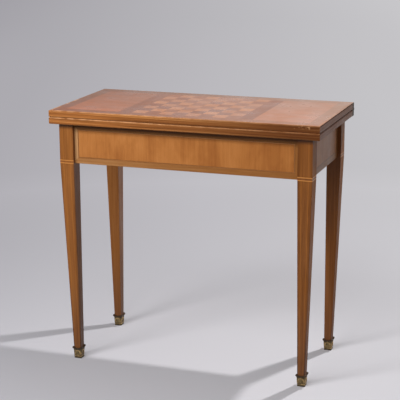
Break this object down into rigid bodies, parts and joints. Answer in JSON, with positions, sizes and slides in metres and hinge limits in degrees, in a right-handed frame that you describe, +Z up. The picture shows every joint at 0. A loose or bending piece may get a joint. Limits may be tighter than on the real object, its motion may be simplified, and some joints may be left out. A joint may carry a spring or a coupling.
{
  "type": "folding chess table",
  "caption": "Folding games table with an inlaid chessboard on a hinged top that turns on a pivot and opens to a baize-lined square, on tapered legs with brass feet",
  "frame": {"origin": "on the floor under the middle of the closed top", "axes": "+Z up, +X to the right along the width of the closed top, -Y to the front, +Y to the hinged rear edge"},
  "size_m": [0.79, 0.395, 0.752],
  "materials": {
    "frame_wood": "polished",
    "lipping_wood": "polished",
    "inner_wood": "plain sawn",
    "border_veneer": "polished",
    "panel_veneer": "polished",
    "dark_band_veneer": "polished",
    "light_square_veneer": "polished",
    "dark_square_veneer": "polished",
    "light_inlay": "polished",
    "baize": "napped",
    "foot_brass": "aged",
    "hinge_brass": "aged",
    "steel_fittings": "dull"
  },
  "bodies": {
    "frame": {"front_left_corner_block": "inner_wood", "front_left_leg": "frame_wood", "front_left_leg_band": "light_inlay", "front_left_sabot": "foot_brass", "front_rail": "frame_wood", "front_rail_stringing": "light_inlay", "front_right_corner_block": "inner_wood", "front_right_leg": "frame_wood", "front_right_leg_band": "light_inlay", "front_right_sabot": "foot_brass", "left_rail": "frame_wood", "left_rail_stringing": "light_inlay", "pivot_bearer": "inner_wood", "rear_left_corner_block": "inner_wood", "rear_left_leg": "frame_wood", "rear_left_leg_band": "light_inlay", "rear_left_sabot": "foot_brass", "rear_rail": "frame_wood", "rear_rail_stringing": "light_inlay", "rear_right_corner_block": "inner_wood", "rear_right_leg": "frame_wood", "rear_right_leg_band": "light_inlay", "rear_right_sabot": "foot_brass", "right_rail": "frame_wood", "right_rail_stringing": "light_inlay", "sabot_nails": "steel_fittings", "well_floor": "inner_wood", "well_partition": "inner_wood"},
    "lower_leaf": {"left_hinge_pin": "hinge_brass", "lower_leaf_baize": "baize", "lower_leaf_core": "inner_wood", "lower_leaf_hinge_screws": "steel_fittings", "lower_leaf_left_hinge": "hinge_brass", "lower_leaf_lipping": "lipping_wood", "lower_leaf_playing_border": "border_veneer", "lower_leaf_right_hinge": "hinge_brass", "pivot_nut": "steel_fittings", "pivot_screws": "steel_fittings", "pivot_stud": "steel_fittings", "pivot_washer": "steel_fittings", "right_hinge_pin": "hinge_brass", "stop_peg": "inner_wood"},
    "upper_leaf": {"border_banding": "border_veneer", "dark_squares": "dark_square_veneer", "left_dark_band": "dark_band_veneer", "left_veneer_panel": "panel_veneer", "light_squares": "light_square_veneer", "right_dark_band": "dark_band_veneer", "right_veneer_panel": "panel_veneer", "upper_leaf_baize": "baize", "upper_leaf_core": "inner_wood", "upper_leaf_hinge_screws": "steel_fittings", "upper_leaf_left_hinge": "hinge_brass", "upper_leaf_lipping": "lipping_wood", "upper_leaf_playing_border": "border_veneer", "upper_leaf_right_hinge": "hinge_brass"}
  },
  "joints": [
    {"name": "top_swivel", "type": "hinge", "parent": "frame", "child": "lower_leaf", "pos_m": [0.09675, 0.09675, 0.712], "axis": [0, 0, 1], "range_deg": [0, 90]},
    {"name": "leaf_fold", "type": "hinge", "parent": "lower_leaf", "child": "upper_leaf", "pos_m": [0, 0.1935, 0.7322], "axis": [-1, 0, 0], "range_deg": [0, 180]}
  ]
}
